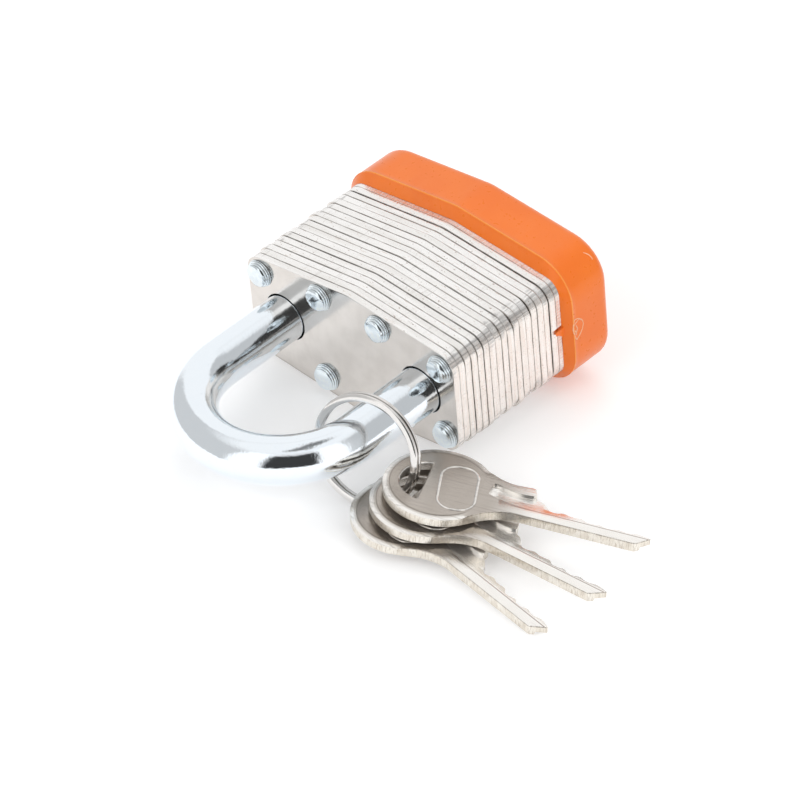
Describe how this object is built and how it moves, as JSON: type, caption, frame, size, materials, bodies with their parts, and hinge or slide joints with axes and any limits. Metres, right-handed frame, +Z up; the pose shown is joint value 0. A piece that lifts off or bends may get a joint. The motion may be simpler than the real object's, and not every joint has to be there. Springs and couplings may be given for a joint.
{
  "type": "padlock",
  "caption": "Laminated steel padlock lying on its side with a domed bumper, a chromed U shackle, and flat keys fanned on a split ring.",
  "frame": {"origin": "centre of the bounding box at ground level, with the padlock lying on a broad face and its keys beside it", "axes": "+X across the two shackle legs towards the leg that carries the keys, +Y from the shackle to the keyway end, +Z up"},
  "size_m": [0.0784, 0.0612, 0.025],
  "materials": {
    "lamination_steel": "bright zinc-plated cut edges, satin faces",
    "zinc_rivet": "zinc plated, bluish, lightly burnished",
    "bumper_vinyl": "glossy moulded orange vinyl",
    "shackle_chrome": "polished chrome plating",
    "key_nickel": "nickel plated, brushed",
    "ring_steel": "bright nickel-plated spring steel",
    "cylinder_brass": "turned brass",
    "spring_steel": "bright drawn wire",
    "hardened_steel": "hardened steel"
  },
  "bodies": {
    "lock_body": {"front_lamination": "lamination_steel", "lamination_02": "lamination_steel", "lamination_03": "lamination_steel", "lamination_04": "lamination_steel", "lamination_05": "lamination_steel", "lamination_06": "lamination_steel", "lamination_07": "lamination_steel", "lamination_08": "lamination_steel", "lamination_09": "lamination_steel", "lamination_10": "lamination_steel", "lamination_11": "lamination_steel", "lamination_12": "lamination_steel", "lamination_13": "lamination_steel", "lamination_14": "lamination_steel", "lamination_15": "lamination_steel", "lamination_16": "lamination_steel", "lamination_17": "lamination_steel", "lamination_18": "lamination_steel", "lamination_19": "lamination_steel", "lamination_20": "lamination_steel", "lamination_21": "lamination_steel", "end_plate": "lamination_steel", "rivet_1": "zinc_rivet", "rivet_2": "zinc_rivet", "rivet_3": "zinc_rivet", "rivet_4": "zinc_rivet", "rivet_5": "zinc_rivet", "rivet_6": "zinc_rivet", "rivet_7": "zinc_rivet", "rivet_8": "zinc_rivet", "bumper": "bumper_vinyl", "shackle_spring": "spring_steel", "dog_spring": "spring_steel", "cylinder_housing": "cylinder_brass", "driver_pin_1": "hardened_steel", "pin_spring_1": "spring_steel", "driver_pin_2": "hardened_steel", "pin_spring_2": "spring_steel", "driver_pin_3": "hardened_steel", "pin_spring_3": "spring_steel", "driver_pin_4": "hardened_steel", "pin_spring_4": "spring_steel"},
    "shackle": {"shackle": "shackle_chrome"},
    "plug": {"plug": "cylinder_brass", "locking_cam": "hardened_steel", "plug_clip": "spring_steel", "key_pin_1": "cylinder_brass", "key_pin_2": "cylinder_brass", "key_pin_3": "cylinder_brass", "key_pin_4": "cylinder_brass"},
    "toe_dog": {"toe_locking_dog": "hardened_steel"},
    "heel_dog": {"heel_locking_dog": "hardened_steel"},
    "ring": {"split_ring": "ring_steel"},
    "key_lower": {"key_lower": "key_nickel"},
    "key_middle": {"key_middle": "key_nickel"},
    "key_upper": {"key_upper": "key_nickel"}
  },
  "joints": [
    {"name": "shackle_lift", "type": "slide", "parent": "lock_body", "child": "shackle", "axis": [0, -0.9963, -0.0857], "range_m": [0, 0.01], "deforming": ["shackle_spring"]},
    {"name": "plug_turn", "type": "hinge", "parent": "lock_body", "child": "plug", "pos_m": [-0.01866, -0.00087, 0.01026], "axis": [0, 0.9963, 0.0857], "range_deg": [0, 90]},
    {"name": "toe_dog_slide", "type": "slide", "parent": "lock_body", "child": "toe_dog", "axis": [1, 0, 0], "range_m": [0, 0.0016], "deforming": ["dog_spring"]},
    {"name": "heel_dog_slide", "type": "slide", "parent": "lock_body", "child": "heel_dog", "axis": [-1, 0, 0], "range_m": [0, 0.0016]},
    {"name": "ring_swing", "type": "hinge", "parent": "shackle", "child": "ring", "pos_m": [-0.00441, -0.01388, 0.00914], "axis": [0, -0.9963, -0.0857], "range_deg": [0, 120]},
    {"name": "key_lower_swing", "type": "hinge", "parent": "ring", "child": "key_lower", "pos_m": [0.00394, -0.01476, 0.00297], "axis": [0.0606, -0.0075, 0.9981], "range_deg": [-35, 6]},
    {"name": "key_middle_swing", "type": "hinge", "parent": "ring", "child": "key_middle", "pos_m": [0.00537, -0.01405, 0.00495], "axis": [0.0795, 0.0109, 0.9968], "range_deg": [-5, 5]},
    {"name": "key_upper_swing", "type": "hinge", "parent": "ring", "child": "key_upper", "pos_m": [0.00603, -0.0135, 0.00693], "axis": [0.0887, 0.0446, 0.9951], "range_deg": [-7, 35]}
  ],
  "couplings": [
    {"joint": "toe_dog_slide", "follows": "plug_turn", "m_per_rad": 0.0010186},
    {"joint": "heel_dog_slide", "follows": "plug_turn", "m_per_rad": 0.0010186}
  ]
}
